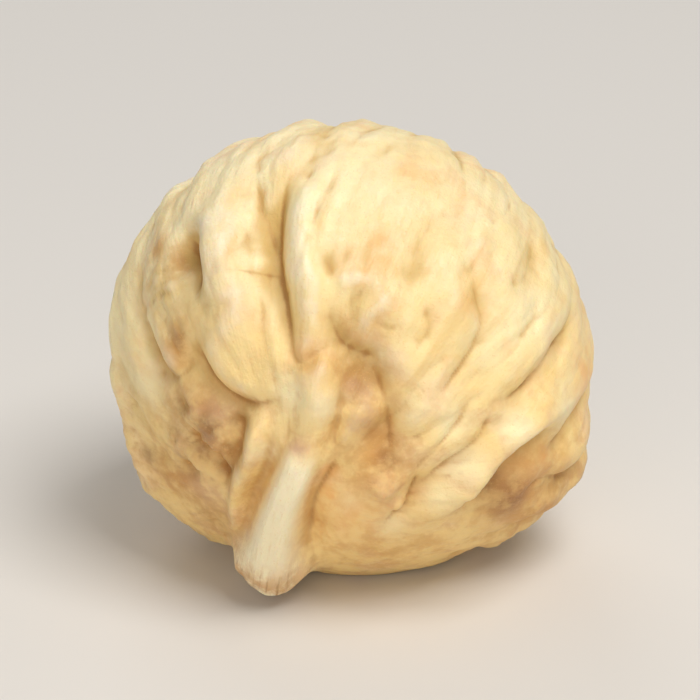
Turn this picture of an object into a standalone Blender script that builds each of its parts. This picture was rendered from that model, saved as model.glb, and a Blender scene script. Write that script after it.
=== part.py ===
"""A whole dried fig, lying on its side with its stalk bent down over the front.

A Blender script, in metres with +Z up. The fruit is one solid that stands on a small flat spot,
pressed into it while it dried. The origin is on that spot, straight under the middle of the fruit.
The skin is worked out as a height over a plain round body, for any direction from its middle:
creases, ridges and dents placed by hand on the stalk side, and ribs placed by rule on the rest.
"""

import math
from collections import namedtuple

import bmesh
import bpy
import numpy as np
from mathutils import Vector, noise

MM = 0.001
NAME = "dried_fig"

# The fruit without its stalk, as it lies: across the stalk's line, and along it
GIRTH = 26.6 * MM
LENGTH = 23.4 * MM
CENTRE_HEIGHT = 11.9 * MM
STALK_TURN = math.radians(-14)
STALK_DROOP = math.radians(17)

# The flat spot: its soft edge, and how far round from straight down the relief is faded
PRESSED_EDGE = 0.25 * MM
SPOT_INNER = math.radians(22)
SPOT_OUTER = math.radians(42)

# The folds on the stalk side are placed as seen from the front, this far above the table
FRONT_TILT = math.radians(24)
RIGHT = np.array((1.0, 0.0, 0.0))
UP = np.array((0.0, math.sin(FRONT_TILT), math.cos(FRONT_TILT)))
NEAR = np.array((0.0, -math.cos(FRONT_TILT), math.sin(FRONT_TILT)))
STALKWARD = np.array(
    (
        math.sin(STALK_TURN) * math.cos(STALK_DROOP),
        -math.cos(STALK_TURN) * math.cos(STALK_DROOP),
        -math.sin(STALK_DROOP),
    )
)

# Every fold wanders a little from its run: share of the radius, waves over the fruit, and seed
WANDER = 0.02
WANDER_WAVES = 3
WANDER_SEED = 12

# Creases of the stalk side, in millimetres: depth, half-widths on the left and the right hand of
# the run, and the places it runs through, right of and above the middle of the fruit
Crease = namedtuple("Crease", "depth left right run")
CREASES = {
    "beside the middle lobe": Crease(
        1.2, 0.8, 1.5, ((-2.5, 10.5), (-3.6, 8.7), (-4.0, 6.9), (-3.9, 4.4), (-3.4, 1.7), (-2.9, -1.6))
    ),
    "above the middle valley": Crease(0.5, 0.8, 1.1, ((-5.0, 9.6), (-5.0, 8.4), (-4.6, 7.0), (-4.2, 5.2))),
    "high on the pillow": Crease(0.3, 0.6, 0.9, ((-5.6, 9.0), (-5.7, 7.6), (-5.5, 6.0), (-5.2, 4.0))),
    "across the pillow": Crease(0.2, 0.5, 0.7, ((-8.0, 2.5), (-7.0, 2.2), (-5.9, 2.4))),
    "down the pillow": Crease(0.25, 0.7, 0.9, ((-4.9, 5.4), (-4.9, 3.0), (-4.6, 0.6), (-4.2, -1.4))),
    "foot of the pillow": Crease(0.2, 0.5, 0.7, ((-4.6, -1.7), (-3.6, -1.4), (-2.8, -0.9))),
    "under the pillow": Crease(
        0.8, 0.5, 1.3, ((-8.3, 1.2), (-8.1, -0.2), (-7.4, -1.6), (-6.4, -2.6), (-5.2, -3.0), (-2.9, -2.4))
    ),
    "brow, left end": Crease(0.18, 0.8, 0.8, ((-2.6, 6.6), (-1.9, 5.5), (-1.1, 4.6), (-0.6, 3.4))),
    "brow": Crease(
        0.18, 1.2, 1.0, ((-1.0, 4.7), (0.2, 5.3), (1.4, 5.6), (2.5, 5.2), (3.0, 4.2), (2.8, 3.0))
    ),
    "high right": Crease(0.4, 1.6, 1.0, ((6.2, 8.8), (4.8, 7.2), (3.9, 5.6), (3.5, 4.0), (3.6, 2.2))),
    "roof of the hollow": Crease(
        0.9, 1.2, 1.2, ((-1.3, 3.4), (-1.0, 1.6), (-0.5, 0.5), (0.4, 0.0), (1.3, -0.3), (2.2, -0.9))
    ),
    "right wall of the hollow": Crease(
        0.6, 1.1, 0.7, ((1.0, -0.4), (1.7, -1.6), (2.1, -3.4), (2.3, -5.4), (2.2, -7.4))
    ),
    "over the hollow": Crease(0.25, 0.6, 0.7, ((0.9, 1.8), (1.9, 1.2), (3.0, 1.2))),
    "over the neck": Crease(
        0.4, 0.6, 0.6, ((-3.4, 3.2), (-3.2, 1.2), (-3.0, -0.2), (-2.5, -0.6), (-1.7, 0.0), (0.2, 0.9))
    ),
    "across the knee": Crease(0.15, 0.5, 0.6, ((-3.9, -4.2), (-2.7, -4.5), (-1.4, -4.2), (-0.5, -3.6))),
    "right of the neck": Crease(0.4, 0.7, 0.5, ((-0.4, -1.6), (-0.6, -3.2), (-0.9, -4.7), (-0.7, -5.9))),
    "right of the hollow": Crease(
        0.35, 1.0, 0.7, ((3.5, 3.0), (4.1, 2.0), (4.2, 1.0), (3.6, 0.3), (3.2, -1.2))
    ),
    "right of the stalk": Crease(
        0.55, 1.2, 0.5, ((-0.6, -5.4), (-1.0, -6.4), (-1.9, -8.0), (-2.3, -9.6), (-2.2, -11.0))
    ),
    "left of the stalk": Crease(0.25, 0.7, 0.7, ((-3.9, -4.2), (-4.5, -5.9), (-5.2, -7.9), (-5.7, -9.9))),
    "left dent": Crease(0.8, 0.7, 1.3, ((-9.3, 7.0), (-8.9, 6.0), (-8.6, 4.9), (-8.3, 3.6), (-8.5, 1.8))),
    "small left lobe": Crease(
        0.45, 0.5, 0.9, ((-11.4, 3.4), (-11.1, 0.9), (-10.4, -0.9), (-9.5, -1.4), (-8.8, -0.5), (-8.5, 1.5))
    ),
    "left rim": Crease(
        0.35, 1.3, 0.8, ((-10.9, 7.2), (-11.5, 4.6), (-11.3, 1.2), (-10.5, -1.4), (-9.9, -4.6))
    ),
    "left low": Crease(0.6, 0.5, 0.9, ((-8.8, -3.8), (-8.0, -5.2), (-7.0, -6.2), (-6.5, -7.9))),
    "beside the low ridge": Crease(0.5, 0.5, 0.8, ((-6.6, -3.2), (-5.9, -4.2), (-6.0, -5.6), (-6.5, -7.0))),
    "second right": Crease(
        0.6, 1.8, 0.8, ((6.6, 6.0), (6.7, 3.6), (7.1, 1.4), (6.5, -0.4), (5.3, -1.9), (3.8, -3.1))
    ),
    "far right, high": Crease(0.3, 1.2, 0.7, ((10.1, 6.3), (9.7, 4.1), (8.4, 3.2))),
    "third right": Crease(
        0.6, 1.5, 0.7, ((12.6, 2.6), (11.6, 0.6), (10.3, -1.2), (9.0, -2.4), (7.4, -2.8))
    ),
    "third right, low end": Crease(
        0.45, 1.0, 0.5, ((7.8, -2.4), (7.6, -3.6), (6.9, -4.8), (5.4, -6.0), (4.2, -7.1), (3.0, -8.2))
    ),
    "fourth right": Crease(
        0.45, 0.9, 0.5, ((6.6, -2.4), (6.2, -3.6), (5.2, -4.6), (3.7, -6.2), (3.3, -7.3))
    ),
    "between the right folds": Crease(0.25, 0.6, 0.4, ((5.0, -3.2), (4.0, -4.2), (3.0, -5.0))),
    "inside the third fold": Crease(0.25, 0.9, 0.5, ((10.2, 2.6), (9.2, 0.6), (7.9, -0.9), (6.4, -2.2))),
    "right edge": Crease(0.6, 1.2, 0.6, ((13.4, -1.4), (12.4, -3.2), (11.4, -4.8), (10.2, -5.8))),
    "under the right ridge": Crease(
        1.2, 1.5, 0.7, ((11.5, -3.8), (9.9, -4.8), (8.6, -5.9), (7.6, -6.9), (6.9, -8.1), (5.4, -9.5))
    ),
    "lower right lip": Crease(0.4, 0.5, 0.6, ((12.2, -6.7), (10.4, -6.9), (8.9, -7.9))),
    "under the knobs": Crease(0.5, 0.8, 0.5, ((3.9, -6.4), (3.4, -7.4), (2.8, -8.5), (1.4, -9.9))),
}

# The skin on both sides of a crease is puffed up by a share of its depth, this far away from it
PUFF_SHARE = 0.3
PUFF_NEAREST = 1.2 * MM
PUFF_FARTHEST = 2.4 * MM

# Rounded ridges of the stalk side, and rounded valleys where the height is below 0: height,
# half-width and run
Ridge = namedtuple("Ridge", "height width run")
RIDGES = {
    "middle lobe": Ridge(0.4, 1.0, ((-0.9, 8.0), (-2.3, 5.0), (-2.1, 2.6), (-2.0, 0.4))),
    "floor of the middle valley": Ridge(-0.4, 0.7, ((-4.4, 8.6), (-4.5, 6.6), (-4.3, 4.6), (-3.8, 2.4))),
    "low brow": Ridge(0.4, 0.7, ((-1.2, 3.7), (0.6, 3.6), (2.3, 3.0))),
    "pillow": Ridge(0.6, 1.6, ((-6.6, 9.0), (-6.7, 5.0), (-6.7, 1.5), (-5.3, -1.2))),
    "left of the stalk": Ridge(0.8, 0.6, ((-4.4, -2.8), (-5.1, -5.2), (-5.8, -7.7), (-6.3, -10.2))),
    "in the hollow": Ridge(0.45, 0.8, ((-0.9, -5.6), (-0.3, -4.6), (0.1, -3.7), (0.3, -2.8))),
    "left rim": Ridge(
        0.4, 1.0, ((-10.2, 8.6), (-12.2, 5.0), (-12.8, 1.0), (-12.3, -3.4), (-10.9, -6.5), (-9.0, -9.0))
    ),
    "lower right": Ridge(0.6, 0.9, ((12.2, -2.0), (10.0, -3.8), (7.8, -5.6), (6.0, -7.5), (2.6, -9.9))),
}

# Round swellings and dents of the stalk side: height, radius and place
Dome = namedtuple("Dome", "height radius place")
DOMES = {
    "lower right corner": Dome(1.2, 4.6, (12.6, -7.4)),
    "lower left corner": Dome(1.0, 4.2, (-11.0, -8.8)),
    "hollow": Dome(-1.0, 1.6, (0.7, -1.4)),
    "hollow, low end": Dome(-0.9, 1.5, (1.2, -4.9)),
    "left dent": Dome(-0.5, 1.1, (-8.7, 5.5)),
    "first pit": Dome(-0.5, 0.7, (-9.2, -2.9)),
    "second pit": Dome(-0.5, 0.6, (-8.8, -6.3)),
    "third pit": Dome(-0.4, 0.5, (-6.7, -6.7)),
    "upper knob": Dome(0.65, 0.65, (1.7, -7.3)),
    "lower knob": Dome(0.5, 0.55, (2.5, -8.2)),
}

# The stalk: a low neck, then a flattened stub that lies over the front, flared at its torn end
Station = namedtuple("Station", "height half_width place")
STALK = (
    Station(0.0, 1.3, (-1.9, 0.4)),
    Station(0.6, 1.0, (-1.6, -2.4)),
    Station(0.5, 0.95, (-2.3, -4.8)),
    Station(1.0, 1.0, (-2.8, -6.2)),
    Station(1.4, 1.15, (-3.5, -8.0)),
    Station(1.8, 1.4, (-3.95, -9.7)),
    Station(2.4, 2.2, (-4.1, -11.1)),
    Station(0.0, 2.5, (-4.2, -12.0)),
)
FLARE_STARTS = 5 / (len(STALK) - 1)
TORN_ROUNDING = 0.07

# Ribs run from the stalk side to the eye: how many, their seed, and the ranges of each one's draw
RIB_COUNT = 34
RIB_SEED = 7
RIB_PLACES = 4
RIB_JITTER = 0.35
RIB_SWAY = 9
RIB_START = (38, 75)
RIB_END = (125, 163)
RIB_DEPTH = (0.35, 0.95)
RIB_HALF_WIDTH = (0.4, 0.9)
RIB_SHARE_IN_FRONT = 0.15

# Wrinkling between the ribs: cells around and along the fruit, height and seed of each layer
Layer = namedtuple("Layer", "around along height seed")
WRINKLES = (Layer(2.6, 1.6, 0.4, 3), Layer(5.2, 4.0, 0.22, 11))

# The eye, opposite the stalk: a ring round a small mouth closed by scales, in a flattened place
FLAT_RADIUS = 6.0
FLAT_DEPTH = 0.5
RING_RADIUS = 2.3
RING_WIDTH = 0.9
RING_HEIGHT = 0.4
MOUTH_RADIUS = 1.35
MOUTH_DEPTH = 1.1
SCALE_RADIUS = 0.8
SCALE_WIDTH = 0.5
SCALE_HEIGHT = 0.45
SCALE_LOBES = 5

# How finely the solid follows the skin
SEGMENTS = 92
RINGS = 56

# Pale straw skin, as the eye sees it and as Blender's linear colour
SKIN_COLOUR = (0.92, 0.83, 0.63)
SKIN_ROUGHNESS = 0.55


def unit(rows):
    """The rows scaled to length 1."""
    return rows / np.linalg.norm(rows, axis=-1, keepdims=True)


def ease(share):
    """0 to 1 with a soft start and a soft end, as share goes from 0 to 1."""
    share = np.clip(share, 0, 1)
    return share * share * (3 - 2 * share)


# Turning about the stalk's line is counted from its upper side, towards the right in front
UPPER = unit(np.array((0.0, 0.0, 1.0)) - STALKWARD[2] * STALKWARD)
RIGHTER = np.cross(STALKWARD, UPPER)


def body_radius(directions):
    """Distance from the middle to the plain body, a little shorter along the stalk's line."""
    lengthwise = directions @ STALKWARD
    across = 1 - lengthwise**2
    return 1 / np.sqrt(lengthwise**2 / (LENGTH / 2) ** 2 + across / (GIRTH / 2) ** 2)


def on_front(right, up):
    """Direction from the middle to the place in front that is seen this far right and up, in mm."""
    flat = right * MM * RIGHT + up * MM * UP
    lengthwise, near_lengthwise = flat @ STALKWARD, NEAR @ STALKWARD
    long_squared, girth_squared = (LENGTH / 2) ** 2, (GIRTH / 2) ** 2
    a = near_lengthwise**2 / long_squared + (1 - near_lengthwise**2) / girth_squared
    b = 2 * lengthwise * near_lengthwise * (1 / long_squared - 1 / girth_squared)
    c = lengthwise**2 / long_squared + (flat @ flat - lengthwise**2) / girth_squared - 1
    reach = (-b + math.sqrt(max(0.0, b * b - 4 * a * c))) / (2 * a)
    return unit(flat + reach * NEAR)


def around(turn, reach):
    """Direction at this turn about the stalk's line and this far from the stalk, in degrees."""
    turn, reach = math.radians(turn), math.radians(reach)
    outward = math.cos(turn) * UPPER + math.sin(turn) * RIGHTER
    return math.cos(reach) * STALKWARD + math.sin(reach) * outward


def smooth_run(places, steps=5):
    """Directions along the smooth (Catmull-Rom) curve through the given directions."""
    places = np.array(places)
    ends = np.vstack([2 * places[0] - places[1], places, 2 * places[-1] - places[-2]])
    run = []
    for before, start, end, after in zip(ends, ends[1:], ends[2:], ends[3:]):
        for t in np.arange(steps) / steps:
            slope = (end - before) * t
            bend = (2 * before - 5 * start + 4 * end - after) * t**2
            twist = (3 * start - before - 3 * end + after) * t**3
            run.append(start + (slope + bend + twist) / 2)
    run.append(places[-1])
    return unit(np.array(run))


def beside(directions, run):
    """Distance of each direction from the run in metres, above 0 on its right hand, and the share
    of the run, from 0 to 1, at which its nearest place lies."""
    far = 1.0
    distance = np.full(len(directions), far)
    along = np.zeros(len(directions))
    middle = unit(run.mean(0))
    margin = 0.45
    reach = np.linalg.norm(run - middle, axis=1).max() + margin
    near = np.nonzero(np.linalg.norm(directions - middle, axis=1) < reach)[0]
    places = directions[near]
    best = np.full(len(places), far)
    for i, (start, end) in enumerate(zip(run, run[1:])):
        step = end - start
        t = np.clip((places - start) @ step / (step @ step), 0, 1)
        gap = places - start - t[:, None] * step
        length = np.linalg.norm(gap, axis=1)
        closer = length < best
        best[closer] = length[closer]
        hand = np.sign(gap[closer] @ np.cross(step, start))
        distance[near[closer]] = hand * length[closer] * GIRTH / 2
        along[near[closer]] = (i + t[closer]) / (len(run) - 1)
    return distance, along


def fade(along, share=0.3):
    """1 along a fold, easing to 0 at both of its ends."""
    return ease(np.minimum(along, 1 - along) / share)


def crease(directions, run, depth, left, right):
    """A sharp valley with puffed skin on each side of it, in metres."""
    distance, along = beside(directions, run)
    half_width = np.where(distance < 0, left, right) * MM
    puff_at = np.clip(2 * half_width, PUFF_NEAREST, PUFF_FARTHEST)
    valley = -np.exp(-((np.abs(distance) / half_width) ** 1.25))
    puff = PUFF_SHARE * np.exp(-(((np.abs(distance) / puff_at - 1) / 0.6) ** 2))
    return depth * MM * fade(along) * (valley + puff)


def ribs(directions):
    """Wrinkles from the stalk side to the eye, drawn by rule."""
    draw = np.random.default_rng(RIB_SEED)
    total = np.zeros(len(directions))
    for rib in range(RIB_COUNT):
        turn = (rib + draw.uniform(-RIB_JITTER, RIB_JITTER)) * 360 / RIB_COUNT
        turns = turn + draw.uniform(-RIB_SWAY, RIB_SWAY, RIB_PLACES)
        reaches = np.linspace(draw.uniform(*RIB_START), draw.uniform(*RIB_END), RIB_PLACES)
        run = smooth_run([around(*place) for place in zip(turns, reaches)])
        left, right = draw.uniform(*RIB_HALF_WIDTH, 2)
        total += crease(directions, run, draw.uniform(*RIB_DEPTH), left, right)
    return total


def wrinkles(directions):
    """Finer wrinkling that runs as the ribs do: rounded backs with sharp valleys between them."""
    reach = np.arccos(np.clip(directions @ STALKWARD, -1, 1))
    turn = np.arctan2(directions @ RIGHTER, directions @ UPPER)
    total = np.zeros(len(directions))
    for layer in WRINKLES:
        across = layer.around * np.column_stack((np.cos(turn), np.sin(turn)))
        places = np.column_stack((across, reach * layer.along + layer.seed))
        back = np.abs([noise.noise(Vector(place)) for place in places])
        total += layer.height * MM * (back - back.mean())
    return total * np.sin(reach)


def eye(directions):
    """The eye's own relief, in metres."""
    gap = np.arccos(np.clip(-directions @ STALKWARD, -1, 1)) * GIRTH / 2 / MM
    turn = np.arctan2(directions @ RIGHTER, directions @ UPPER)
    flat = -FLAT_DEPTH * np.exp(-((gap / FLAT_RADIUS) ** 2))
    ring = RING_HEIGHT * np.exp(-(((gap - RING_RADIUS) / RING_WIDTH) ** 2))
    mouth = -MOUTH_DEPTH * np.exp(-((gap / MOUTH_RADIUS) ** 4))
    scales = SCALE_HEIGHT * np.exp(-(((gap - SCALE_RADIUS) / SCALE_WIDTH) ** 2))
    return (flat + ring + mouth + scales * np.cos(turn * SCALE_LOBES) ** 2) * MM


def stalk(directions):
    """The neck and the stub, in metres over the body."""
    distance, along = beside(directions, smooth_run([on_front(*s.place) for s in STALK]))
    cut_back = TORN_ROUNDING * (distance / (STALK[-1].half_width * MM)) ** 2
    along = along + cut_back * ease((along - FLARE_STARTS) / 0.2)
    stops = np.linspace(0, 1, len(STALK))
    height = np.interp(along, stops, [s.height for s in STALK]) * MM
    half_width = np.interp(along, stops, [s.half_width for s in STALK]) * MM
    return height * np.exp(-((np.abs(distance) / half_width) ** 4))


def relief(directions):
    """How far the skin stands out from the plain body, in metres."""
    noise.seed_set(WANDER_SEED)
    wander = WANDER * np.array([noise.noise_vector(Vector(WANDER_WAVES * place)) for place in directions])
    bent = unit(directions + wander)
    front = ease((directions @ NEAR + 0.25) / 0.6)
    by_rule = 1 - (1 - RIB_SHARE_IN_FRONT) * front
    total = (ribs(bent) + wrinkles(bent)) * by_rule + eye(directions)
    for fold in CREASES.values():
        run = smooth_run([on_front(*place) for place in fold.run])
        total += crease(bent, run, fold.depth, fold.left, fold.right)
    for fold in RIDGES.values():
        distance, along = beside(bent, smooth_run([on_front(*place) for place in fold.run]))
        total += fold.height * MM * fade(along) * np.exp(-((distance / (fold.width * MM)) ** 2))
    for swelling in DOMES.values():
        gap = np.linalg.norm(bent - on_front(*swelling.place), axis=1) * GIRTH / 2
        total += swelling.height * MM * np.exp(-((gap / (swelling.radius * MM)) ** 2))
    from_below = np.arccos(np.clip(-directions[:, 2], -1, 1))
    off_the_spot = ease((from_below - SPOT_INNER) / (SPOT_OUTER - SPOT_INNER))
    return total * off_the_spot + stalk(directions)


def skin(directions):
    """Points of the skin in metres, with the underside pressed flat at height 0."""
    radius = body_radius(directions) + relief(directions)
    points = directions * radius[:, None] + np.array((0, 0, CENTRE_HEIGHT))
    height = points[:, 2]
    eased = (height + PRESSED_EDGE) ** 2 / (4 * PRESSED_EDGE)
    pressed = np.where(height < -PRESSED_EDGE, 0.0, eased)
    points[:, 2] = np.where(height > PRESSED_EDGE, height, pressed)
    return points


def skin_material():
    """Matt straw-coloured skin."""
    material = bpy.data.materials.new("fig_skin")
    material.use_nodes = True
    shader = material.node_tree.nodes["Principled BSDF"]
    linear = [channel**2.2 for channel in SKIN_COLOUR]
    shader.inputs["Base Color"].default_value = (*linear, 1.0)
    shader.inputs["Roughness"].default_value = SKIN_ROUGHNESS
    shader.inputs["Metallic"].default_value = 0.0
    return material


def fig():
    """The fruit's object: a sphere with its poles at the stalk and the eye, moved out to the skin."""
    made = bmesh.new()
    bmesh.ops.create_uvsphere(made, u_segments=SEGMENTS, v_segments=RINGS, radius=1.0)
    turn = Vector((0, 0, 1)).rotation_difference(Vector(STALKWARD)).to_matrix()
    bmesh.ops.rotate(made, matrix=turn, verts=made.verts)
    directions = unit(np.array([vert.co for vert in made.verts]))
    for vert, point in zip(made.verts, skin(directions)):
        vert.co = point
    mesh = bpy.data.meshes.new(NAME)
    made.to_mesh(mesh)
    made.free()
    mesh.shade_smooth()
    mesh.materials.append(skin_material())
    return bpy.data.objects.new(NAME, mesh)


def main():
    for old in list(bpy.data.objects):
        bpy.data.objects.remove(old)
    collection = bpy.data.collections.new("Dried fig")
    bpy.context.scene.collection.children.link(collection)
    collection.objects.link(fig())


if __name__ == "__main__":
    main()
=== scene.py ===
import math
from collections import namedtuple

import bmesh
import bpy
import numpy as np
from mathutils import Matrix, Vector, noise


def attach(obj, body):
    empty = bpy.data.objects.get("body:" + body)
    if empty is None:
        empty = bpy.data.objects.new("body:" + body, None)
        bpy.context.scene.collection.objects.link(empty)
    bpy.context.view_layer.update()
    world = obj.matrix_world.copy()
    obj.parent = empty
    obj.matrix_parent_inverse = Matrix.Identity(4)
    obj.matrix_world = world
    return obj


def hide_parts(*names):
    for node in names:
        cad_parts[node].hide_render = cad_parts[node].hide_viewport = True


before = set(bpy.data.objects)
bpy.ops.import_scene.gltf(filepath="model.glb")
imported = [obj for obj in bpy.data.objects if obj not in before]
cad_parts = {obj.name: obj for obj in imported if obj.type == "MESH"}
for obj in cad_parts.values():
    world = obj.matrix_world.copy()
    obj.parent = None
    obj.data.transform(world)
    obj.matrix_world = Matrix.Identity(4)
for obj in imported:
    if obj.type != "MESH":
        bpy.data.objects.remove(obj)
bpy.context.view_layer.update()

# The body of the fruit. A fig is a hollow flower head that swells and dries to a leathery ball, a
# little shorter from stalk to eye than across. It lies on its side with the stalk in front. Its
# skin is worked out as a height over this plain body, for every direction from its middle.
MM = 0.001
GIRTH = 26.6 * MM
LENGTH = 23.4 * MM
CENTRE_HEIGHT = 11.9 * MM
STALK_TURN = math.radians(-14)
STALK_DROOP = math.radians(17)
GRID_CUTS = 126
WANDER = 0.02
WANDER_WAVES = 3
WANDER_SEED = 12

STALKWARD = np.array(
    (
        math.sin(STALK_TURN) * math.cos(STALK_DROOP),
        -math.cos(STALK_TURN) * math.cos(STALK_DROOP),
        -math.sin(STALK_DROOP),
    )
)


def unit(rows):
    """The rows scaled to length 1."""
    return rows / np.linalg.norm(rows, axis=-1, keepdims=True)


def ease(share):
    """0 to 1 with a soft start and a soft end, as share goes from 0 to 1."""
    share = np.clip(share, 0, 1)
    return share * share * (3 - 2 * share)


# A cube cut into an even grid, with its faces drawn out so that the grid stays even on the ball
grid = bmesh.new()
bmesh.ops.create_cube(grid, size=2)
bmesh.ops.subdivide_edges(grid, edges=grid.edges, cuts=GRID_CUTS, use_grid_fill=True)
directions = unit(np.tan(np.array([vert.co for vert in grid.verts]) * math.pi / 4))
lengthwise = directions @ STALKWARD
radius = 1 / np.sqrt(lengthwise**2 / (LENGTH / 2) ** 2 + (1 - lengthwise**2) / (GIRTH / 2) ** 2)

# Folds and ribs wander a little from their runs, so they are measured from slightly bent directions
noise.seed_set(WANDER_SEED)
wander = WANDER * np.array([noise.noise_vector(Vector(WANDER_WAVES * place)) for place in directions])
bent = unit(directions + wander)

# The folds of the stalk side. The skin shrinks over flesh that shrinks less, so it falls into sharp
# valleys with puffed lobes between them, which run together at the stalk. Their places are read
# from the front, 24 degrees above the table, in millimetres right of and above the middle.
FRONT_TILT = math.radians(24)
RIGHT = np.array((1.0, 0.0, 0.0))
UP = np.array((0.0, math.sin(FRONT_TILT), math.cos(FRONT_TILT)))
NEAR = np.array((0.0, -math.cos(FRONT_TILT), math.sin(FRONT_TILT)))

# Depth, half-widths on the left and the right hand of the run, and the places it runs through
Crease = namedtuple("Crease", "depth left right run")
CREASES = {
    "beside the middle lobe": Crease(
        1.2, 0.8, 1.5, ((-2.5, 10.5), (-3.6, 8.7), (-4.0, 6.9), (-3.9, 4.4), (-3.4, 1.7), (-2.9, -1.6))
    ),
    "above the middle valley": Crease(0.5, 0.8, 1.1, ((-5.0, 9.6), (-5.0, 8.4), (-4.6, 7.0), (-4.2, 5.2))),
    "high on the pillow": Crease(0.3, 0.6, 0.9, ((-5.6, 9.0), (-5.7, 7.6), (-5.5, 6.0), (-5.2, 4.0))),
    "across the pillow": Crease(0.2, 0.5, 0.7, ((-8.0, 2.5), (-7.0, 2.2), (-5.9, 2.4))),
    "down the pillow": Crease(0.25, 0.7, 0.9, ((-4.9, 5.4), (-4.9, 3.0), (-4.6, 0.6), (-4.2, -1.4))),
    "foot of the pillow": Crease(0.2, 0.5, 0.7, ((-4.6, -1.7), (-3.6, -1.4), (-2.8, -0.9))),
    "under the pillow": Crease(
        0.8, 0.5, 1.3, ((-8.3, 1.2), (-8.1, -0.2), (-7.4, -1.6), (-6.4, -2.6), (-5.2, -3.0), (-2.9, -2.4))
    ),
    "brow, left end": Crease(0.18, 0.8, 0.8, ((-2.6, 6.6), (-1.9, 5.5), (-1.1, 4.6), (-0.6, 3.4))),
    "brow": Crease(
        0.18, 1.2, 1.0, ((-1.0, 4.7), (0.2, 5.3), (1.4, 5.6), (2.5, 5.2), (3.0, 4.2), (2.8, 3.0))
    ),
    "high right": Crease(0.4, 1.6, 1.0, ((6.2, 8.8), (4.8, 7.2), (3.9, 5.6), (3.5, 4.0), (3.6, 2.2))),
    "roof of the hollow": Crease(
        0.9, 1.2, 1.2, ((-1.3, 3.4), (-1.0, 1.6), (-0.5, 0.5), (0.4, 0.0), (1.3, -0.3), (2.2, -0.9))
    ),
    "right wall of the hollow": Crease(
        0.6, 1.1, 0.7, ((1.0, -0.4), (1.7, -1.6), (2.1, -3.4), (2.3, -5.4), (2.2, -7.4))
    ),
    "over the hollow": Crease(0.25, 0.6, 0.7, ((0.9, 1.8), (1.9, 1.2), (3.0, 1.2))),
    "over the neck": Crease(
        0.4, 0.6, 0.6, ((-3.4, 3.2), (-3.2, 1.2), (-3.0, -0.2), (-2.5, -0.6), (-1.7, 0.0), (0.2, 0.9))
    ),
    "across the knee": Crease(0.15, 0.5, 0.6, ((-3.9, -4.2), (-2.7, -4.5), (-1.4, -4.2), (-0.5, -3.6))),
    "right of the neck": Crease(0.4, 0.7, 0.5, ((-0.4, -1.6), (-0.6, -3.2), (-0.9, -4.7), (-0.7, -5.9))),
    "right of the hollow": Crease(
        0.35, 1.0, 0.7, ((3.5, 3.0), (4.1, 2.0), (4.2, 1.0), (3.6, 0.3), (3.2, -1.2))
    ),
    "right of the stalk": Crease(
        0.55, 1.2, 0.5, ((-0.6, -5.4), (-1.0, -6.4), (-1.9, -8.0), (-2.3, -9.6), (-2.2, -11.0))
    ),
    "left of the stalk": Crease(0.25, 0.7, 0.7, ((-3.9, -4.2), (-4.5, -5.9), (-5.2, -7.9), (-5.7, -9.9))),
    "left dent": Crease(0.8, 0.7, 1.3, ((-9.3, 7.0), (-8.9, 6.0), (-8.6, 4.9), (-8.3, 3.6), (-8.5, 1.8))),
    "small left lobe": Crease(
        0.45, 0.5, 0.9, ((-11.4, 3.4), (-11.1, 0.9), (-10.4, -0.9), (-9.5, -1.4), (-8.8, -0.5), (-8.5, 1.5))
    ),
    "left rim": Crease(
        0.35, 1.3, 0.8, ((-10.9, 7.2), (-11.5, 4.6), (-11.3, 1.2), (-10.5, -1.4), (-9.9, -4.6))
    ),
    "left low": Crease(0.6, 0.5, 0.9, ((-8.8, -3.8), (-8.0, -5.2), (-7.0, -6.2), (-6.5, -7.9))),
    "beside the low ridge": Crease(0.5, 0.5, 0.8, ((-6.6, -3.2), (-5.9, -4.2), (-6.0, -5.6), (-6.5, -7.0))),
    "second right": Crease(
        0.6, 1.8, 0.8, ((6.6, 6.0), (6.7, 3.6), (7.1, 1.4), (6.5, -0.4), (5.3, -1.9), (3.8, -3.1))
    ),
    "far right, high": Crease(0.3, 1.2, 0.7, ((10.1, 6.3), (9.7, 4.1), (8.4, 3.2))),
    "third right": Crease(
        0.6, 1.5, 0.7, ((12.6, 2.6), (11.6, 0.6), (10.3, -1.2), (9.0, -2.4), (7.4, -2.8))
    ),
    "third right, low end": Crease(
        0.45, 1.0, 0.5, ((7.8, -2.4), (7.6, -3.6), (6.9, -4.8), (5.4, -6.0), (4.2, -7.1), (3.0, -8.2))
    ),
    "fourth right": Crease(
        0.45, 0.9, 0.5, ((6.6, -2.4), (6.2, -3.6), (5.2, -4.6), (3.7, -6.2), (3.3, -7.3))
    ),
    "between the right folds": Crease(0.25, 0.6, 0.4, ((5.0, -3.2), (4.0, -4.2), (3.0, -5.0))),
    "inside the third fold": Crease(0.25, 0.9, 0.5, ((10.2, 2.6), (9.2, 0.6), (7.9, -0.9), (6.4, -2.2))),
    "right edge": Crease(0.6, 1.2, 0.6, ((13.4, -1.4), (12.4, -3.2), (11.4, -4.8), (10.2, -5.8))),
    "under the right ridge": Crease(
        1.2, 1.5, 0.7, ((11.5, -3.8), (9.9, -4.8), (8.6, -5.9), (7.6, -6.9), (6.9, -8.1), (5.4, -9.5))
    ),
    "lower right lip": Crease(0.4, 0.5, 0.6, ((12.2, -6.7), (10.4, -6.9), (8.9, -7.9))),
    "under the knobs": Crease(0.5, 0.8, 0.5, ((3.9, -6.4), (3.4, -7.4), (2.8, -8.5), (1.4, -9.9))),
}

# How sharply a crease falls in. The skin on both sides of it is puffed up by a share of its depth,
# this far away from it, in a band as wide as this share of that distance.
CREASE_POWER = 1.25
PUFF_SHARE = 0.3
PUFF_NEAREST = 1.2 * MM
PUFF_FARTHEST = 2.4 * MM
PUFF_WIDTH = 0.6

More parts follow.
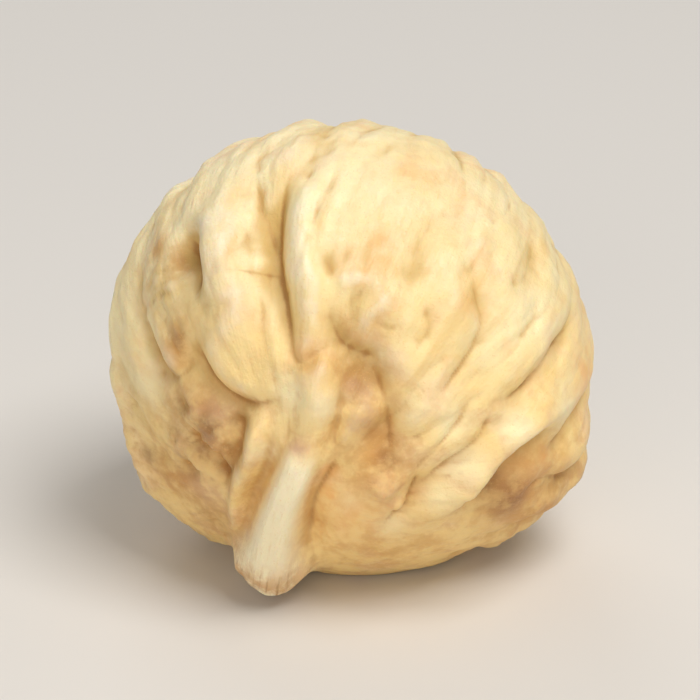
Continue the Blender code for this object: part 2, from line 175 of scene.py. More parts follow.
# Height, half-width and run of the rounded ridges
Ridge = namedtuple("Ridge", "height width run")
RIDGES = {
    "middle lobe": Ridge(0.4, 1.0, ((-0.9, 8.0), (-2.3, 5.0), (-2.1, 2.6), (-2.0, 0.4))),
    "floor of the middle valley": Ridge(-0.4, 0.7, ((-4.4, 8.6), (-4.5, 6.6), (-4.3, 4.6), (-3.8, 2.4))),
    "low brow": Ridge(0.4, 0.7, ((-1.2, 3.7), (0.6, 3.6), (2.3, 3.0))),
    "pillow": Ridge(0.6, 1.6, ((-6.6, 9.0), (-6.7, 5.0), (-6.7, 1.5), (-5.3, -1.2))),
    "left of the stalk": Ridge(0.8, 0.6, ((-4.4, -2.8), (-5.1, -5.2), (-5.8, -7.7), (-6.3, -10.2))),
    "in the hollow": Ridge(0.45, 0.8, ((-0.9, -5.6), (-0.3, -4.6), (0.1, -3.7), (0.3, -2.8))),
    "left rim": Ridge(
        0.4, 1.0, ((-10.2, 8.6), (-12.2, 5.0), (-12.8, 1.0), (-12.3, -3.4), (-10.9, -6.5), (-9.0, -9.0))
    ),
    "lower right": Ridge(0.6, 0.9, ((12.2, -2.0), (10.0, -3.8), (7.8, -5.6), (6.0, -7.5), (2.6, -9.9))),
}

# Height, radius and place of the round swellings and dents
Dome = namedtuple("Dome", "height radius place")
DOMES = {
    "lower right corner": Dome(1.2, 4.6, (12.6, -7.4)),
    "lower left corner": Dome(1.0, 4.2, (-11.0, -8.8)),
    "hollow": Dome(-1.0, 1.6, (0.7, -1.4)),
    "hollow, low end": Dome(-0.9, 1.5, (1.2, -4.9)),
    "left dent": Dome(-0.5, 1.1, (-8.7, 5.5)),
    "first pit": Dome(-0.5, 0.7, (-9.2, -2.9)),
    "second pit": Dome(-0.5, 0.6, (-8.8, -6.3)),
    "third pit": Dome(-0.4, 0.5, (-6.7, -6.7)),
    "upper knob": Dome(0.65, 0.65, (1.7, -7.3)),
    "lower knob": Dome(0.5, 0.55, (2.5, -8.2)),
}


def on_front(right, up):
    """Direction from the middle to the place in front that is seen this far right and up, in mm."""
    flat = right * MM * RIGHT + up * MM * UP
    flat_along, near_along = flat @ STALKWARD, NEAR @ STALKWARD
    long_squared, girth_squared = (LENGTH / 2) ** 2, (GIRTH / 2) ** 2
    a = near_along**2 / long_squared + (1 - near_along**2) / girth_squared
    b = 2 * flat_along * near_along * (1 / long_squared - 1 / girth_squared)
    c = flat_along**2 / long_squared + (flat @ flat - flat_along**2) / girth_squared - 1
    reach = (-b + math.sqrt(max(0.0, b * b - 4 * a * c))) / (2 * a)
    return unit(flat + reach * NEAR)


def smooth_run(places, steps=5):
    """Directions along the smooth (Catmull-Rom) curve through the given directions."""
    places = np.array(places)
    ends = np.vstack([2 * places[0] - places[1], places, 2 * places[-1] - places[-2]])
    run = []
    for before, start, end, after in zip(ends, ends[1:], ends[2:], ends[3:]):
        for t in np.arange(steps) / steps:
            slope = (end - before) * t
            bend = (2 * before - 5 * start + 4 * end - after) * t**2
            twist = (3 * start - before - 3 * end + after) * t**3
            run.append(start + (slope + bend + twist) / 2)
    run.append(places[-1])
    return unit(np.array(run))


def beside(towards, run):
    """Distance of each direction from the run in metres, above 0 on its right hand, and the share
    of the run, from 0 to 1, at which its nearest place lies."""
    far = 1.0
    distance = np.full(len(towards), far)
    along = np.zeros(len(towards))
    middle = unit(run.mean(0))
    margin = 0.45
    reach = np.linalg.norm(run - middle, axis=1).max() + margin
    near = np.nonzero(np.linalg.norm(towards - middle, axis=1) < reach)[0]
    places = towards[near]
    best = np.full(len(places), far)
    for i, (start, end) in enumerate(zip(run, run[1:])):
        step = end - start
        t = np.clip((places - start) @ step / (step @ step), 0, 1)
        gap = places - start - t[:, None] * step
        length = np.linalg.norm(gap, axis=1)
        closer = length < best
        best[closer] = length[closer]
        hand = np.sign(gap[closer] @ np.cross(step, start))
        distance[near[closer]] = hand * length[closer] * GIRTH / 2
        along[near[closer]] = (i + t[closer]) / (len(run) - 1)
    return distance, along


def fade(along, share=0.3):
    """1 along a fold, easing to 0 at both of its ends."""
    return ease(np.minimum(along, 1 - along) / share)


def crease(towards, run, depth, left, right):
    """A sharp valley with puffed skin on each side of it, in metres."""
    distance, along = beside(towards, run)
    half_width = np.where(distance < 0, left, right) * MM
    puff_at = np.clip(2 * half_width, PUFF_NEAREST, PUFF_FARTHEST)
    valley = -np.exp(-((np.abs(distance) / half_width) ** CREASE_POWER))
    puff = PUFF_SHARE * np.exp(-(((np.abs(distance) / puff_at - 1) / PUFF_WIDTH) ** 2))
    return depth * MM * fade(along) * (valley + puff)


def over(area):
    """1 in the middle of a round area in front, easing to 0 past its radius."""
    gap = np.linalg.norm(bent - on_front(*area.place), axis=1) * GIRTH / 2
    return np.exp(-((gap / (area.radius * MM)) ** 2))


folds = np.zeros(len(directions))
for fold in CREASES.values():
    run = smooth_run([on_front(*place) for place in fold.run])
    folds += crease(bent, run, fold.depth, fold.left, fold.right)
for fold in RIDGES.values():
    distance, along = beside(bent, smooth_run([on_front(*place) for place in fold.run]))
    folds += fold.height * MM * fade(along) * np.exp(-((distance / (fold.width * MM)) ** 2))
for swelling in DOMES.values():
    folds += swelling.height * MM * over(swelling)

# The ribs and wrinkles of the sides and the back. They follow the veins of the skin, from the stalk
# to the eye: about three dozen deep ribs, then many short fine ones, then a fine crumple.
UPPER = unit(np.array((0.0, 0.0, 1.0)) - STALKWARD[2] * STALKWARD)
RIGHTER = np.cross(STALKWARD, UPPER)

# How many, their seed, and the ranges that each one's draw is made from, in degrees and mm
Ribs = namedtuple("Ribs", "count seed places jitter sway start length end depth half_width in_front")
DEEP_RIBS = Ribs(34, 7, 4, 0.35, 9, (38, 75), None, (125, 163), (0.35, 0.95), (0.4, 0.9), 0.15)
MIDDLE_RIBS = Ribs(70, 5, 4, 0.5, 6, (14, 100), (25, 70), None, (0.12, 0.36), (0.3, 0.6), 0.35)
FINE_RIBS = Ribs(150, 19, 4, 0.5, 7, (30, 125), (10, 34), None, (0.05, 0.14), (0.24, 0.36), 0.4)

# Cells around and along the fruit, height in mm and seed of each layer of wrinkling, the share of
# it that is left in front, and how rounded its valleys are
Layer = namedtuple("Layer", "around along height seed")
WRINKLES = (Layer(2.6, 1.6, 0.4, 3), Layer(5.2, 4.0, 0.22, 11))
WRINKLES_IN_FRONT = 0.15
FINE_WRINKLES = (Layer(9, 3, 0.3, 23), Layer(18, 7, 0.13, 31))
FINE_WRINKLES_IN_FRONT = 0.8
FINE_ROUNDING = 0.07

# Where the front begins, on which ribs and wrinkles are fainter, and how softly, as the cosine of
# the angle from the middle of the front
FRONT_STARTS = -0.25
FRONT_BLEND = 0.6

turn_about = np.arctan2(bent @ RIGHTER, bent @ UPPER)
reach_along = np.arccos(np.clip(bent @ STALKWARD, -1, 1))
in_front = ease((directions @ NEAR - FRONT_STARTS) / FRONT_BLEND)


def around(turn, reach):
    """Direction at this turn about the stalk's line and this far from the stalk, in degrees."""
    turn, reach = math.radians(turn), math.radians(reach)
    outward = math.cos(turn) * UPPER + math.sin(turn) * RIGHTER
    return math.cos(reach) * STALKWARD + math.sin(reach) * outward


def ribs(kind):
    """Ribs of one kind, drawn by rule, in metres."""
    draw = np.random.default_rng(kind.seed)
    total = np.zeros(len(bent))
    for rib in range(kind.count):
        turn = (rib + draw.uniform(-kind.jitter, kind.jitter)) * 360 / kind.count
        turns = turn + draw.uniform(-kind.sway, kind.sway, kind.places)
        start = draw.uniform(*kind.start)
        end = draw.uniform(*kind.end) if kind.end else start + draw.uniform(*kind.length)
        reaches = np.linspace(start, end, kind.places)
        run = smooth_run([around(*place) for place in zip(turns, reaches)])
        left, right = draw.uniform(*kind.half_width, 2)
        total += crease(bent, run, draw.uniform(*kind.depth), left, right)
    return total * (1 - (1 - kind.in_front) * in_front)


def wrinkles(layers, share_in_front, rounding=0.0):
    """Wrinkling that runs as the ribs do, in metres: rounded backs with valleys between them, which
    are sharp where the rounding is 0."""
    total = np.zeros(len(bent))
    for layer in layers:
        across = layer.around * np.column_stack((np.cos(turn_about), np.sin(turn_about)))
        places = np.column_stack((across, reach_along * layer.along + layer.seed))
        back = np.hypot([noise.noise(Vector(place)) for place in places], rounding)
        total += layer.height * MM * (back - back.mean())
    return total * np.sin(reach_along) * (1 - (1 - share_in_front) * in_front)


wrinkled = ribs(DEEP_RIBS) + wrinkles(WRINKLES, WRINKLES_IN_FRONT)
finely = ribs(MIDDLE_RIBS) + ribs(FINE_RIBS)
finely += wrinkles(FINE_WRINKLES, FINE_WRINKLES_IN_FRONT, FINE_ROUNDING)

# Where the skin has crumpled into small lumps: strength, radius in mm and place
LUMP_SIZE = 1.0 * MM
LUMP_HEIGHT = 0.5 * MM
CRUMPLED_ELSEWHERE = 0.15
Patch = namedtuple("Patch", "strength radius place")
CRUMPLED = (
    Patch(1.0, 3.0, (-8.2, -5.0)),
    Patch(0.7, 2.2, (-10.2, 2.6)),
    Patch(0.5, 1.4, (1.8, -6.6)),
    Patch(0.5, 2.4, (10.4, -7.4)),
)


def patched(patches, elsewhere=0.0):
    """The strongest of the patches at each place."""
    strongest = np.full(len(bent), elsewhere)
    for patch in patches:
        strongest = np.maximum(strongest, patch.strength * over(patch))
    return strongest


crumpled = patched(CRUMPLED, CRUMPLED_ELSEWHERE)
lumps = np.hypot([noise.noise(Vector(place)) for place in bent * GIRTH / 2 / LUMP_SIZE], FINE_ROUNDING)
finely += LUMP_HEIGHT * crumpled * (lumps - lumps.mean())

# The eye, opposite the stalk. The mouth of the flower head stays as a small hole with a puffed pale
# ring round it, and dries shut under its own brown scales.
FLAT_RADIUS = 6.0
FLAT_DEPTH = 0.5
RING_RADIUS = 2.3
RING_WIDTH = 0.9
RING_HEIGHT = 0.4
MOUTH_RADIUS = 1.35
MOUTH_DEPTH = 1.1
SCALE_RADIUS = 0.8
SCALE_WIDTH = 0.5
SCALE_HEIGHT = 0.45
SCALE_LOBES = 5

from_eye = (math.pi - np.arccos(np.clip(directions @ STALKWARD, -1, 1))) * GIRTH / 2 / MM
eye_turn = np.arctan2(directions @ RIGHTER, directions @ UPPER)
eye_ring = np.exp(-(((from_eye - RING_RADIUS) / RING_WIDTH) ** 2))
eye_scales = np.exp(-(((from_eye - SCALE_RADIUS) / SCALE_WIDTH) ** 2)) * np.cos(eye_turn * SCALE_LOBES) ** 2
eye = MM * (
    RING_HEIGHT * eye_ring
    + SCALE_HEIGHT * eye_scales
    - FLAT_DEPTH * np.exp(-((from_eye / FLAT_RADIUS) ** 2))
    - MOUTH_DEPTH * np.exp(-((from_eye / MOUTH_RADIUS) ** 4))
)

# The stalk. The fruit hung from it, and it dries to a flattened stringy stub that lies down over the
# front, with a low neck above it and a torn flare where it was pulled from the twig.
FIBRE_PITCH = 0.6
FIBRE_WAVES = 7
FIBRE_HEIGHT = 0.12
TORN_HEIGHT = 0.3
TORN_LENGTH = 0.03
TORN_ROUNDING = 0.07

# Height, half-width and place of each station from the neck to the torn end
Station = namedtuple("Station", "height half_width place")
STALK = (
    Station(0.0, 1.3, (-1.9, 0.4)),
    Station(0.6, 1.0, (-1.6, -2.4)),
    Station(0.5, 0.95, (-2.3, -4.8)),
    Station(1.0, 1.0, (-2.8, -6.2)),
    Station(1.4, 1.15, (-3.5, -8.0)),
    Station(1.8, 1.4, (-3.95, -9.7)),
    Station(2.4, 2.2, (-4.1, -11.1)),
    Station(0.0, 2.5, (-4.2, -12.0)),
)

# Shares of the stalk's length at which the stub and the flare begin, and over which each comes in
STUB_STARTS = 2 / (len(STALK) - 1)
FLARE_STARTS = 5 / (len(STALK) - 1)
NECK_BLEND = 0.15
STUB_BLEND = 0.12
CUT_BLEND = 0.2
TORN_BLEND = 0.15

distance, along = beside(directions, smooth_run([on_front(*station.place) for station in STALK]))
string = np.column_stack((distance / (FIBRE_PITCH * MM), along * FIBRE_WAVES, np.zeros(len(along))))
fibres = np.array([noise.noise(Vector(place)) for place in string])
cut_back = TORN_LENGTH * fibres + TORN_ROUNDING * (distance / (STALK[-1].half_width * MM)) ** 2
along = along + cut_back * ease((along - FLARE_STARTS) / CUT_BLEND)
stops = np.linspace(0, 1, len(STALK))
half_width = np.interp(along, stops, [station.half_width for station in STALK]) * MM
across = np.exp(-((np.abs(distance) / half_width) ** 4))
stalk = np.interp(along, stops, [station.height for station in STALK]) * MM * across
on_neck = across * ease(along / NECK_BLEND)
on_stub = np.exp(-((np.abs(distance) / half_width) ** 6)) * ease((along - STUB_STARTS) / STUB_BLEND)
torn = on_stub * ease((along - FLARE_STARTS) / TORN_BLEND)
stalk += on_stub * (FIBRE_HEIGHT + (TORN_HEIGHT - FIBRE_HEIGHT) * torn) * MM * fibres

# The skin over all of it, in one closed mesh: leathery, thin and a little clear, palest where it
# stands out and honey brown down in its folds, partly its own colour and partly painted highlight
# and painted shade, and pressed flat where the fruit lay as it dried.
PRESSED_EDGE = 0.25 * MM
SPOT_INNER = math.radians(22)
SPOT_OUTER = math.radians(42)

from_below = np.arccos(np.clip(-directions[:, 2], -1, 1))
off_the_spot = ease((from_below - SPOT_INNER) / (SPOT_OUTER - SPOT_INNER))
relief = (folds + wrinkled + finely + eye) * off_the_spot + stalk
points = directions * (radius + relief)[:, None] + np.array((0, 0, CENTRE_HEIGHT))
height = points[:, 2]
pressed = np.where(height < -PRESSED_EDGE, 0.0, (height + PRESSED_EDGE) ** 2 / (4 * PRESSED_EDGE))
points[:, 2] = np.where(height > PRESSED_EDGE, height, pressed)
for vert, point in zip(grid.verts, points):
    vert.co = point
skin_mesh = bpy.data.meshes.new("fig_skin")
grid.to_mesh(skin_mesh)
grid.free()
skin_mesh.shade_smooth()
skin = bpy.data.objects.new("fig_skin", skin_mesh)
bpy.context.scene.collection.objects.link(skin)

edges = np.empty(len(skin_mesh.edges) * 2, dtype=np.int32)
skin_mesh.edges.foreach_get("vertices", edges)
edges = edges.reshape(-1, 2)
degree = np.bincount(edges.ravel(), minlength=len(points))


def evened(values, rounds):
    """The values, each evened out with its neighbours on the mesh this many times."""
    for _ in range(rounds):
        total = np.bincount(edges[:, 0], values[edges[:, 1]], len(values))
        total += np.bincount(edges[:, 1], values[edges[:, 0]], len(values))
        values = (values + total / degree) / 2
    return values


def keep(name, values):
    """Stores one value or one vector a point on the skin, for its material to read."""
    kind, field = ("FLOAT", "value") if values.ndim == 1 else ("FLOAT_VECTOR", "vector")
    stored = skin_mesh.attributes.new(name, kind, "POINT")
    stored.data.foreach_set(field, values.astype(np.float32).ravel())


# Where each point lies among the veins: the turn about the stalk's line as a place on a circle, and
# a slower count from stalk to eye, so that noise read from it is drawn out along the veins. The
# same for the strings of the stalk: the distance beside its middle, and a slower count along it.
VEIN_PACE = 0.22
STRING_PACE = 2
keep("veins", np.column_stack((np.cos(turn_about), np.sin(turn_about), reach_along * VEIN_PACE)))
keep("strings", np.column_stack((distance / MM, along * STRING_PACE, np.zeros(len(along)))))
keep("vein_share", np.sin(reach_along))

# How far a place lies below or above what is around it, in a narrow and in a wide ring. The
# material paints the folds darker with them, partly as painted shade, and the crests paler, partly
# as painted highlight
VALLEY_DEPTH = 0.3 * MM
FINE_DEPTH = 0.07 * MM
NARROW_ROUNDS = 10
WIDE_ROUNDS = 110
narrow = relief - evened(relief, NARROW_ROUNDS)
wide = relief - stalk - evened(relief - stalk, WIDE_ROUNDS)
keep("valley", np.clip(-wide / VALLEY_DEPTH, 0, 2) * (1 - on_neck))
keep("crest", np.clip(wide / VALLEY_DEPTH, 0, 2))
keep("line", np.clip(-narrow / FINE_DEPTH, 0, 2))
keep("crumpled", crumpled)
keep("stub", on_stub)
keep("torn", torn)
keep("eye_ring", eye_ring)
keep("eye_mouth", np.exp(-((from_eye / MOUTH_RADIUS) ** 4)))

# The skin is painted paler on its upper side and darker and more golden below, partly its own colour
# and partly painted shade, as the light falls from above: where that begins, and how softly, as
# the cosine of the angle from straight up in the view from the front
UPPER_SIDE_STARTS = -0.75
UPPER_SIDE_BLEND = 1.3
keep("upper_side", ease((directions @ UP - UPPER_SIDE_STARTS) / UPPER_SIDE_BLEND))

# Stains in the skin, with painted light and shade, by colour. The pale patches are painted light on
# rims and ridges that the light falls on and on places the lamps leave in shade; the tan and umber
# patches over and in the hollow, and the tan, orange and umber patches of the lower right fold, are
# partly painted shade
STAINS_AND_PAINTED_LIGHT = {
    "olive": (
        Patch(0.6, 0.8, (-4.5, 7.4)),
        Patch(0.8, 0.8, (-4.5, 6.0)),
        Patch(0.4, 0.7, (-4.3, 4.7)),
        Patch(0.5, 0.7, (-4.0, 3.3)),
        Patch(0.6, 1.3, (-7.3, 5.6)),
        Patch(0.4, 0.6, (-3.6, 1.6)),
        Patch(0.7, 2.0, (-10.2, 3.8)),
        Patch(0.7, 1.8, (-7.2, 4.0)),
        Patch(0.4, 1.5, (-6.0, 1.8)),
        Patch(0.4, 1.6, (-11.6, -2.8)),
        Patch(0.3, 0.9, (-4.2, -1.3)),
        Patch(0.5, 0.7, (0.3, -3.3)),
    ),
    "tan": (
        Patch(0.7, 1.1, (-10.6, 5.6)),
        Patch(1.0, 1.5, (-9.2, 0.2)),
        Patch(1.0, 1.3, (-9.0, 5.2)),
        Patch(1.0, 2.0, (-8.4, -2.8)),
        Patch(1.0, 2.4, (-7.4, -5.2)),
        Patch(1.0, 2.0, (-9.4, -7.0)),
        Patch(0.7, 1.2, (-2.0, -0.5)),
        # Partly painted shade under the overhanging roof of the hollow and in it
        Patch(0.6, 1.0, (-0.4, 1.4)),
        Patch(0.5, 1.2, (1.6, 1.0)),
        Patch(1.0, 1.6, (0.4, -1.0)),
        Patch(0.8, 1.2, (1.5, -3.6)),
        Patch(0.9, 1.0, (1.4, -5.0)),
        Patch(1.0, 1.7, (1.6, -6.3)),
        Patch(0.8, 0.9, (-1.8, -9.4)),
        # Partly painted shadow that neighbouring figs cast on the lower right fold
        Patch(0.7, 1.4, (10.2, -6.2)),
        Patch(1.0, 2.2, (9.8, -8.4)),
        Patch(0.8, 1.6, (11.8, -7.2)),
        Patch(0.5, 2.6, (1.6, -11.0)),
        Patch(0.6, 2.4, (-7.0, -9.4)),
    ),
    # Painted light: paler on rims and ridges that the light falls on, and lifting places that lie in shade
    "pale": (
        Patch(0.8, 1.2, (11.4, -3.2)),
        Patch(0.9, 1.1, (8.6, -4.0)),
        Patch(1.0, 1.4, (6.0, -6.1)),
        Patch(0.7, 1.2, (4.8, -7.8)),
        Patch(0.7, 1.3, (2.2, -9.4)),
        Patch(0.9, 1.3, (5.6, -3.9)),
        Patch(0.8, 0.6, (-5.4, -4.6)),
        Patch(0.7, 0.6, (-5.8, -6.4)),
        Patch(0.9, 2.4, (-12.6, 1.2)),
        Patch(0.8, 1.3, (-11.0, -1.9)),
        Patch(0.9, 1.1, (-3.0, -2.3)),
        Patch(0.9, 0.9, (-4.4, -5.4)),
        Patch(0.5, 1.2, (0.0, -8.2)),
        Patch(1.0, 1.6, (-9.0, 7.9)),
        Patch(0.9, 1.8, (-6.6, 9.6)),
        Patch(0.8, 1.4, (-2.0, 10.6)),
        Patch(0.6, 3.0, (1.2, 9.2)),
        Patch(0.9, 0.9, (-1.4, -2.9)),
        Patch(0.5, 1.0, (3.3, -3.5)),
        Patch(0.8, 0.6, (1.7, -0.4)),
        Patch(0.6, 1.5, (9.6, 1.2)),
    ),
    "orange": (
        Patch(0.7, 1.6, (1.6, 5.1)),
        Patch(0.5, 1.5, (3.4, 9.4)),
        Patch(0.5, 1.5, (6.6, 2.8)),
        Patch(1.0, 0.8, (-1.3, -7.8)),
        Patch(0.6, 2.2, (0.2, -8.8)),
        Patch(0.9, 1.3, (12.5, 3.7)),
        Patch(0.8, 1.8, (12.8, -1.6)),
        Patch(0.7, 0.8, (10.4, -5.9)),
        Patch(0.8, 0.6, (-1.1, -6.6)),
        # Partly painted shadow that neighbouring figs cast on the lower right fold
        Patch(1.0, 1.9, (9.0, -7.6)),
    ),
    "umber": (
        Patch(0.9, 0.8, (-8.9, 5.4)),
        Patch(0.8, 0.5, (-9.8, -1.2)),
        Patch(0.5, 0.6, (-9.1, 0.8)),
        Patch(0.7, 0.8, (-9.3, -2.9)),
        Patch(0.5, 0.6, (-5.6, -2.9)),
        Patch(0.9, 0.7, (-6.0, -4.0)),
        Patch(0.7, 0.6, (-6.3, -5.3)),
        Patch(0.8, 0.9, (-7.5, -4.2)),
        Patch(0.9, 0.8, (-6.8, -6.4)),
        Patch(0.8, 0.9, (-8.9, -6.2)),
        Patch(0.5, 0.6, (-10.8, -5.7)),
        Patch(0.35, 1.8, (-9.0, -4.8)),
        Patch(0.3, 1.5, (-7.4, -9.0)),
        # Partly painted shade under the overhanging roof of the hollow and in it
        Patch(0.7, 0.5, (-0.5, 0.6)),
        Patch(0.7, 0.6, (0.3, -0.2)),
        Patch(0.6, 1.3, (0.8, -1.4)),
        Patch(0.8, 0.6, (-8.0, -5.4)),
        Patch(0.8, 0.6, (2.0, -5.9)),
        # Partly painted shadow that neighbouring figs cast on the lower right fold
        Patch(1.0, 1.7, (8.5, -8.0)),
        Patch(1.0, 1.1, (7.6, -7.6)),
    ),
    "mauve": (
        Patch(0.9, 0.7, (-2.6, -5.1)),
        Patch(0.4, 1.6, (0.7, -2.2)),
        Patch(0.5, 1.2, (0.5, -4.2)),
        Patch(0.6, 0.8, (1.9, -7.2)),
        Patch(0.6, 1.2, (-7.2, -3.4)),
        Patch(0.6, 1.6, (-7.8, -7.6)),
        Patch(0.5, 1.0, (-4.4, -12.0)),
        Patch(0.4, 1.0, (2.2, -7.7)),
    ),
}
for patch_colour, patches in STAINS_AND_PAINTED_LIGHT.items():
    keep(patch_colour, patched(patches))


def linear(colour):
    """A colour given out of 255, as Blender's linear colour."""
    shares = [channel / 255 for channel in colour]
    return (*[c / 12.92 if c < 0.04045 else ((c + 0.055) / 1.055) ** 2.4 for c in shares], 1.0)


class Wire:
    """A socket of a material. Sums written on it add Math nodes."""

    def __init__(self, tree, socket=None):
        self.tree = tree
        self.socket = socket

    def node(self, kind, settings=(), sockets=(), output=0):
        """The output of a new node, after its settings and then its sockets are set or linked."""
        made = self.tree.nodes.new(kind)
        for name, value in dict(settings).items():
            setattr(made, name, value)
        for name, value in dict(sockets).items():
            if isinstance(value, Wire):
                self.tree.links.new(value.socket, made.inputs[name])
            else:
                made.inputs[name].default_value = value
        return Wire(self.tree, made.outputs[output])

    def maths(self, operation, first, second):
        """A Math node's output, from two values or wires."""
        return self.node("ShaderNodeMath", {"operation": operation}, {0: first, 1: second})

    def __add__(self, other):
        return self.maths("ADD", self, other)

    def __sub__(self, other):
        return self.maths("SUBTRACT", self, other)

    def __rsub__(self, other):
        return self.maths("SUBTRACT", other, self)

    def __mul__(self, other):
        return self.maths("MULTIPLY", self, other)

    __radd__ = __add__
    __rmul__ = __mul__

    def between(self, low, high):
        """0 at low and 1 at high, with soft ends."""
        limits = {"Value": self, "From Min": low, "From Max": high}
        return self.node("ShaderNodeMapRange", {"interpolation_type": "SMOOTHSTEP"}, limits)

    def ridged(self):
        """Noise folded at its middle, which gives round backs with sharp valleys between them."""
        return self.node("ShaderNodeMath", {"operation": "ABSOLUTE"}, {0: self - 0.5})

    def tinted(self, colour, share):
        """This colour mixed with another, by a share from 0 to 1."""
        mixed = {"Factor": share, 6: self, 7: linear(colour)}
        return self.node("ShaderNodeMix", {"data_type": "RGBA", "clamp_factor": True}, mixed, 2)

    def attribute(self, name, output="Fac"):
        """A value or a vector stored on the mesh."""
        return self.node("ShaderNodeAttribute", {"attribute_name": name}, (), output)

    def mottle(self, place, cell, detail=3.0, roughness=0.55):
        """Cloudy noise from 0 to 1, with cells of this size in mm."""
        sockets = {"Vector": place, "Scale": 1 / cell, "Detail": detail, "Roughness": roughness}
        return self.node("ShaderNodeTexNoise", (), sockets)


# Colours of the stub, partly painted light, of the skin, its stains and its painted light and shade,
# and of the eye, out of 255
PITH_AND_PAINTED_LIGHT = (255, 241, 204)
CREAM = (255, 240, 194)
STRAW = (250, 219, 150)
BLUSH = (255, 222, 180)
HONEY = (234, 188, 114)
OLIVE = (212, 178, 106)
TAN = (200, 144, 72)
UMBER = (134, 84, 36)
ORANGE = (246, 184, 108)
MAUVE = (202, 156, 126)
BLOOM_AND_HIGHLIGHT = (255, 249, 228)
EYE_PALE = (246, 236, 214)
EYE_DARK = (104, 66, 36)

# How deep the finest grain is, and the light that goes into the skin: its share, how far its red,
# green and blue reach beside each other, and how deep that is
GRAIN_DEPTH = 0.12 * MM
CLEAR_SHARE = 0.22
CLEAR_REACH = (1.0, 0.5, 0.2)
CLEAR_DEPTH = 0.9 * MM

skin_material = bpy.data.materials.new("fig_skin")
skin_material.use_nodes = True
tree = skin_material.node_tree
wire = Wire(tree)
place = wire.node("ShaderNodeTexCoord", output="Object")
place = wire.node("ShaderNodeVectorMath", {"operation": "SCALE"}, {0: place, "Scale": 1 / MM})
valley = wire.attribute("valley")
crest = wire.attribute("crest")
line = wire.attribute("line")
veins = wire.attribute("veins", "Vector")
vein_share = wire.attribute("vein_share")
clouds = wire.mottle(place, 4.5)
flushes = wire.mottle(place, 2.6, 2.0, 0.5)
blotches = wire.mottle(place, 1.3, 4.0, 0.6)
grain = wire.mottle(place, 0.28, 3.0, 0.6)
specks = wire.mottle(place, 0.12, 2.0, 0.5)
bands = wire.mottle(veins, 0.15, 2.0, 0.5)
streaks = wire.mottle(veins, 0.07, 3.0, 0.6)
threads = wire.mottle(veins, 0.035, 2.0, 0.5).ridged()
crumple = wire.mottle(place, 0.8, 3.0, 0.55).ridged()
stub = wire.attribute("stub")
strands = wire.mottle(wire.attribute("strings", "Vector"), 0.2, 3.0, 0.6)

# Darker and more golden towards the bottom: partly the skin's own colour, partly painted shade
lower = 1 - wire.attribute("upper_side")
colour = wire.node("ShaderNodeRGB")
colour.socket.default_value = linear(CREAM)
colour = colour.tinted(STRAW, clouds.between(0.35, 0.65) * 0.5 + lower)
colour = colour.tinted(BLUSH, flushes.between(0.5, 0.7) * 0.5)
colour = colour.tinted(HONEY, blotches.between(0.45, 0.75) * 0.3 + lower.between(0.35, 1.0) * 0.15)
colour = colour.tinted(HONEY, streaks.between(0.5, 0.75) * vein_share * 0.4)
colour = colour.tinted(OLIVE, bands.between(0.5, 0.72) * vein_share * 0.4)
colour = colour.tinted(TAN, lower.between(0.35, 0.9) * blotches.between(0.42, 0.68) * 0.35)
# Stains with painted light and shade: the pale patches are painted light, and the tan, orange and umber
# patches hold some painted shade
patchiness = 0.4 + blotches.between(0.3, 0.6) * 0.6
colour = colour.tinted(CREAM, wire.attribute("pale") * 0.8)
colour = colour.tinted(OLIVE, wire.attribute("olive") * patchiness)
colour = colour.tinted(TAN, wire.attribute("tan") * patchiness * 0.9)
colour = colour.tinted(ORANGE, wire.attribute("orange") * patchiness * 0.9)
colour = colour.tinted(MAUVE, wire.attribute("mauve") * patchiness * 0.9)
colour = colour.tinted(UMBER, wire.attribute("umber") * (0.25 + patchiness * 0.6))
# Darker in the creases: umber along the small creases of the crumpled patches and the narrow creases, olive
# and tan down in the valleys; partly the skin's own colour in its folds, partly painted shade
colour = colour.tinted(UMBER, wire.attribute("crumpled") * line.between(0.2, 1.2) * 0.6)
colour = colour.tinted(OLIVE, valley.between(0.0, 0.9) * (1 - lower) * 0.8)
colour = colour.tinted(TAN, valley.between(0.2, 1.4) * lower.between(0.1, 0.8) * 0.4)
colour = colour.tinted(UMBER, line.between(0.6, 1.7) * valley.between(0.5, 1.6) * 0.6)
colour = colour.tinted(TAN, line.between(0.3, 1.5) * 0.4)
# Whitish sugar bloom on the crests of the upper side, partly a painted highlight where the light falls
colour = colour.tinted(BLOOM_AND_HIGHLIGHT, crest.between(0.2, 0.9) * blotches.between(0.3, 0.7) * (1 - lower) * 0.5)
# The stub pale cream: partly its own colour, partly painted light that brightens it where it faces down
# into shade
colour = colour.tinted(PITH_AND_PAINTED_LIGHT, stub * 0.95)
colour = colour.tinted(HONEY, stub * strands.between(0.5, 0.8) * 0.3)
colour = colour.tinted(TAN, wire.attribute("torn") * blotches.between(0.35, 0.6) * 0.8)
colour = colour.tinted(UMBER, wire.attribute("torn") * strands.between(0.5, 0.7) * 0.5)
colour = colour.tinted(EYE_PALE, wire.attribute("eye_ring") * 0.7)
colour = colour.tinted(EYE_DARK, wire.attribute("eye_mouth") * grain.between(0.25, 0.7))
colour = colour.tinted(HONEY, specks.between(0.6, 0.75) * 0.35)

roughness = 0.5 + (grain - 0.5) * 0.25 + valley * 0.1 - crest * 0.1
relief_seen = grain * 0.4 + specks * 0.2 + crumple * 0.7 + threads * vein_share * 0.9 + strands * stub * 1.2
bumps = {"Height": relief_seen, "Strength": 0.7, "Distance": GRAIN_DEPTH}
bump = wire.node("ShaderNodeBump", (), bumps, "Normal")

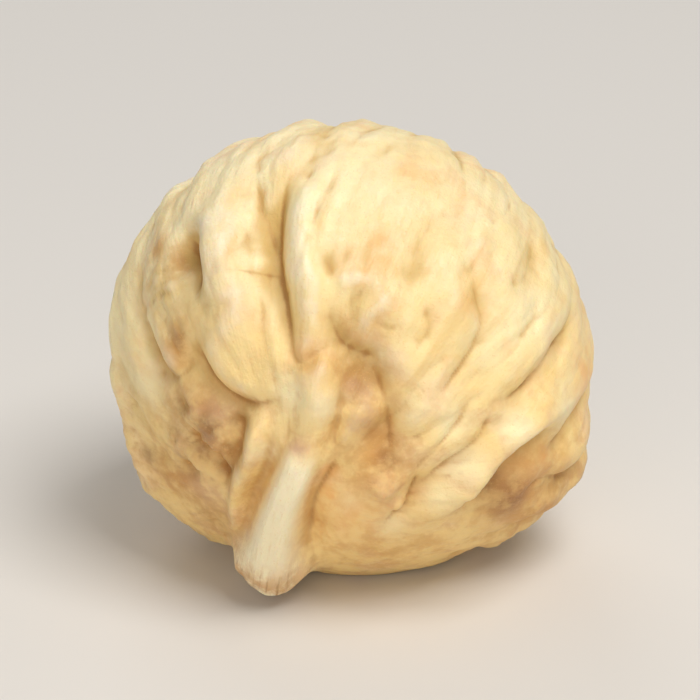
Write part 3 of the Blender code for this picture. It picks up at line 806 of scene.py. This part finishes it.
shader = tree.nodes["Principled BSDF"]
tree.links.new(colour.socket, shader.inputs["Base Color"])
tree.links.new(roughness.socket, shader.inputs["Roughness"])
tree.links.new(bump.socket, shader.inputs["Normal"])
shader.inputs["Subsurface Weight"].default_value = CLEAR_SHARE
shader.inputs["Subsurface Radius"].default_value = CLEAR_REACH
shader.inputs["Subsurface Scale"].default_value = CLEAR_DEPTH
shader.inputs["IOR"].default_value = 1.46
skin_mesh.materials.append(skin_material)
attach(skin, "root")
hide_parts("dried_fig")

# The table under the fruit: a plain pale sheet of matt paper, laid flat. With it stand three soft
# lamps, in a dim pale room, and a camera with a long lens.
FLOOR_SIDE = 1.6
FLOOR_COLOUR = (226, 224, 220)
PAPER_ROUGHNESS = 0.85
ROOM_COLOUR = (1.0, 0.97, 0.93, 1.0)
ROOM_LIGHT = 0.28

bpy.ops.mesh.primitive_plane_add(size=FLOOR_SIDE)
floor = bpy.context.object
floor.name = "floor"
floor_material = bpy.data.materials.new("floor_paper")
floor_material.use_nodes = True
paper = floor_material.node_tree.nodes["Principled BSDF"]
paper.inputs["Base Color"].default_value = linear(FLOOR_COLOUR)
paper.inputs["Roughness"].default_value = PAPER_ROUGHNESS
floor.data.materials.append(floor_material)

# Soft lamps: colour, power in watts, side in metres and place
Lamp = namedtuple("Lamp", "colour power side place")
LAMPS = {
    "key": Lamp((1.0, 0.96, 0.92), 0.97, 0.2, (0.12, -0.12, 0.34)),
    "fill": Lamp((1.0, 0.96, 0.92), 0.57, 0.3, (-0.1, -0.4, 0.11)),
    "rim": Lamp((1.0, 0.97, 0.95), 0.25, 0.2, (-0.1, 0.3, 0.25)),
}
middle = Vector((0, 0, CENTRE_HEIGHT))
for name, lamp in LAMPS.items():
    light = bpy.data.lights.new(name, "AREA")
    light.color = lamp.colour
    light.energy = lamp.power
    light.size = lamp.side
    lit = bpy.data.objects.new(name, light)
    lit.location = lamp.place
    lit.rotation_euler = (middle - lit.location).to_track_quat("-Z", "Y").to_euler()
    bpy.context.scene.collection.objects.link(lit)

world = bpy.data.worlds.new("studio")
world.use_nodes = True
sky = world.node_tree.nodes["Background"]
sky.inputs["Color"].default_value = ROOM_COLOUR
sky.inputs["Strength"].default_value = ROOM_LIGHT
bpy.context.scene.world = world
bpy.context.scene.view_settings.view_transform = "Standard"

# Focal length in mm, and the share of the picture's width that the fruit fills
LENS = 200
FRUIT_SHARE = 0.68
camera_data = bpy.data.cameras.new("camera")
camera_data.lens = LENS
camera_data.clip_start = 0.01
camera = bpy.data.objects.new("camera", camera_data)
camera_distance = GIRTH / FRUIT_SHARE * LENS / camera_data.sensor_width
camera.location = middle + Vector(NEAR) * camera_distance
camera.rotation_euler = (-Vector(NEAR)).to_track_quat("-Z", "Y").to_euler()
bpy.context.scene.collection.objects.link(camera)
bpy.context.scene.camera = camera
